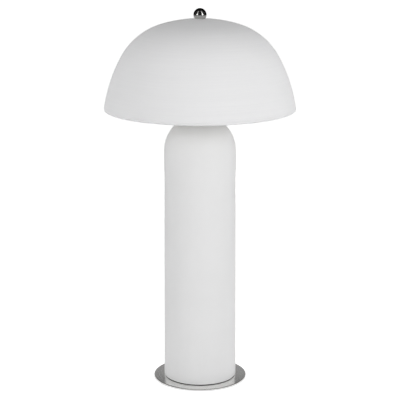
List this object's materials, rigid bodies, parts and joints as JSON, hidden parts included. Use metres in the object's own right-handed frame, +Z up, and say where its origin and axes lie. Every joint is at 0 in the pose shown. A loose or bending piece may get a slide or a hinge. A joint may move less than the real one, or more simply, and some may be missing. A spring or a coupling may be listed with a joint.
{
  "type": "table lamp",
  "caption": "Ceramic column table lamp on a round metal foot, with a domed shade carried by a harp over a screw-base bulb and a turn switch, and a ball finial on top.",
  "frame": {"origin": "on the lamp's vertical axis, at the underside of the felt pad", "axes": "+Z up along the column, -Y to the front, where the switch knob points; +Y to the rear, where the cord outlet is"},
  "size_m": [0.4062, 0.4062, 0.8073],
  "materials": {
    "felt": "matte felt",
    "weight_steel": "satin primer",
    "brushed_nickel": "concentric brushed satin",
    "zinc_steel": "plain zinc",
    "pipe_brass": "plain rolled thread",
    "gasket_rubber": "matte",
    "locating_plastic": "matte",
    "white_ceramic": "matte glaze",
    "bushing_plastic": "satin",
    "satin_nickel": "satin",
    "socket_nickel": "satin",
    "fibre_liner": "waxed",
    "core_phenolic": "gloss",
    "contact_brass": "bright",
    "knob_plastic": "satin gloss",
    "sleeve_nickel": "satin",
    "bulb_tip": "soldered",
    "bulb_black_glass": "vitreous gloss",
    "bulb_shell": "bright",
    "frosted_glass": "inside frosted",
    "shade_linen": "fine slub weave",
    "shade_styrene": "matte white",
    "rim_wire": "plain wire",
    "spider_nickel": "satin",
    "polished_nickel": "mirror polish"
  },
  "bodies": {
    "lamp": {"foot_pad": "felt", "foot_weight": "weight_steel", "foot_cover": "brushed_nickel", "clamp_washer": "zinc_steel", "lock_washer_lower": "zinc_steel", "pipe_nut_lower": "zinc_steel", "threaded_pipe": "pipe_brass", "body_gasket": "gasket_rubber", "locating_ring": "locating_plastic", "ceramic_body": "white_ceramic", "cord_bushing": "bushing_plastic", "crown_gasket": "gasket_rubber", "vase_cap": "satin_nickel", "neck_tube": "satin_nickel", "harp_saddle": "satin_nickel", "lock_washer_upper": "zinc_steel", "pipe_nut_upper": "zinc_steel", "socket_cap": "socket_nickel", "cap_set_screw": "zinc_steel", "socket_shell": "socket_nickel", "socket_liner": "fibre_liner", "socket_core": "core_phenolic", "screw_shell": "contact_brass", "centre_contact": "contact_brass", "terminal_screws": "contact_brass", "harp_wire": "satin_nickel", "harp_swivel": "satin_nickel"},
    "shade": {"shade_fabric": "shade_linen", "shade_liner": "shade_styrene", "shade_rim_ring": "rim_wire", "shade_rim_trim": "shade_linen", "spider_hub": "spider_nickel", "spider_arms": "spider_nickel", "spider_ring": "spider_nickel"},
    "finial": {"finial_base": "polished_nickel", "finial_ball": "polished_nickel"},
    "switch": {"switch_spindle": "contact_brass", "switch_knob": "knob_plastic"},
    "sleeve_left": {"harp_sleeve_left": "sleeve_nickel"},
    "sleeve_right": {"harp_sleeve_right": "sleeve_nickel"},
    "bulb": {"bulb_contact": "bulb_tip", "bulb_insulator": "bulb_black_glass", "bulb_cap": "bulb_shell", "bulb_glass": "frosted_glass"}
  },
  "joints": [
    {"name": "shade_lift", "type": "slide", "parent": "lamp", "child": "shade", "axis": [0, 0, 1], "range_m": [0, 0.21]},
    {"name": "finial_turn", "type": "hinge", "parent": "shade", "child": "finial", "pos_m": [0, 0, 0.79], "axis": [0, 0, 1], "continuous": true},
    {"name": "switch_turn", "type": "hinge", "parent": "lamp", "child": "switch", "pos_m": [0, -0.02, 0.627], "axis": [0, -1, 0], "continuous": true},
    {"name": "sleeve_left_slide", "type": "slide", "parent": "lamp", "child": "sleeve_left", "axis": [0, 0, 1], "range_m": [0, 0.01]},
    {"name": "sleeve_right_slide", "type": "slide", "parent": "lamp", "child": "sleeve_right", "axis": [0, 0, 1], "range_m": [0, 0.01]},
    {"name": "bulb_turn", "type": "hinge", "parent": "lamp", "child": "bulb", "pos_m": [0, 0, 0.65], "axis": [0, 0, 1], "continuous": true}
  ]
}
